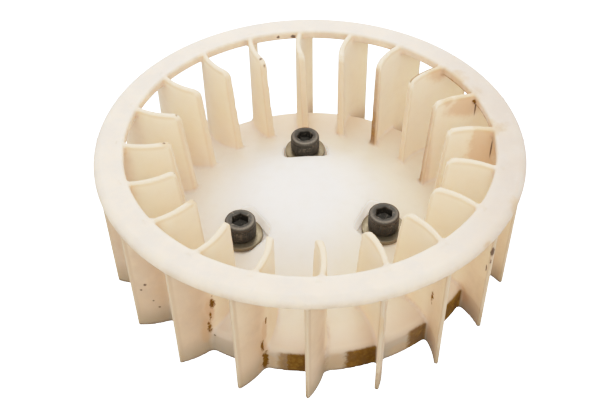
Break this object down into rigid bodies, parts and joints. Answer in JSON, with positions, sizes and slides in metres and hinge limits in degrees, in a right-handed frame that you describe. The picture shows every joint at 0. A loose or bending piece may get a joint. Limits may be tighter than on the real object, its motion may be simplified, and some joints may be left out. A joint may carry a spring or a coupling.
{
  "type": "magneto flywheel cooling fan wheel",
  "caption": "Moulded centrifugal cooling fan wheel for a small engine's magneto flywheel, held by socket-head cap screws on plain washers.",
  "frame": {"origin": "on the spin axis, in the plane of the skirt's and the blades' lower edges", "axes": "+Z along the spin axis from the engine side to the open ring; -Y towards the front of the picture, between the two screws"},
  "size_m": [0.134, 0.134, 0.0452],
  "materials": {
    "ivory_nylon": "satin ivory nylon, yellowed, with grime in the corners",
    "black_oxide": "worn black oxide",
    "yellow_zinc": "dull yellow zinc plating",
    "bare_steel": "bare turned steel"
  },
  "bodies": {
    "wheel": {"fan_wheel": "ivory_nylon", "collar_1": "bare_steel", "collar_2": "bare_steel", "collar_3": "bare_steel"},
    "washer_1": {"washer_1": "yellow_zinc"},
    "washer_2": {"washer_2": "yellow_zinc"},
    "washer_3": {"washer_3": "yellow_zinc"},
    "screw_1": {"cap_screw_1": "black_oxide"},
    "screw_2": {"cap_screw_2": "black_oxide"},
    "screw_3": {"cap_screw_3": "black_oxide"}
  },
  "joints": [
    {"name": "washer_1_lift", "type": "slide", "parent": "wheel", "child": "washer_1", "axis": [0, 0, 1], "range_m": [0, 0.016]},
    {"name": "screw_1_turn", "type": "hinge", "parent": "washer_1", "child": "screw_1", "pos_m": [0.02348, -0.01228, 0.017], "axis": [0, 0, 1], "continuous": true},
    {"name": "washer_2_lift", "type": "slide", "parent": "wheel", "child": "washer_2", "axis": [0, 0, 1], "range_m": [0, 0.016]},
    {"name": "screw_2_turn", "type": "hinge", "parent": "washer_2", "child": "screw_2", "pos_m": [-0.00111, 0.02648, 0.017], "axis": [0, 0, 1], "continuous": true},
    {"name": "washer_3_lift", "type": "slide", "parent": "wheel", "child": "washer_3", "axis": [0, 0, 1], "range_m": [0, 0.016]},
    {"name": "screw_3_turn", "type": "hinge", "parent": "washer_3", "child": "screw_3", "pos_m": [-0.02237, -0.0142, 0.017], "axis": [0, 0, 1], "continuous": true}
  ]
}
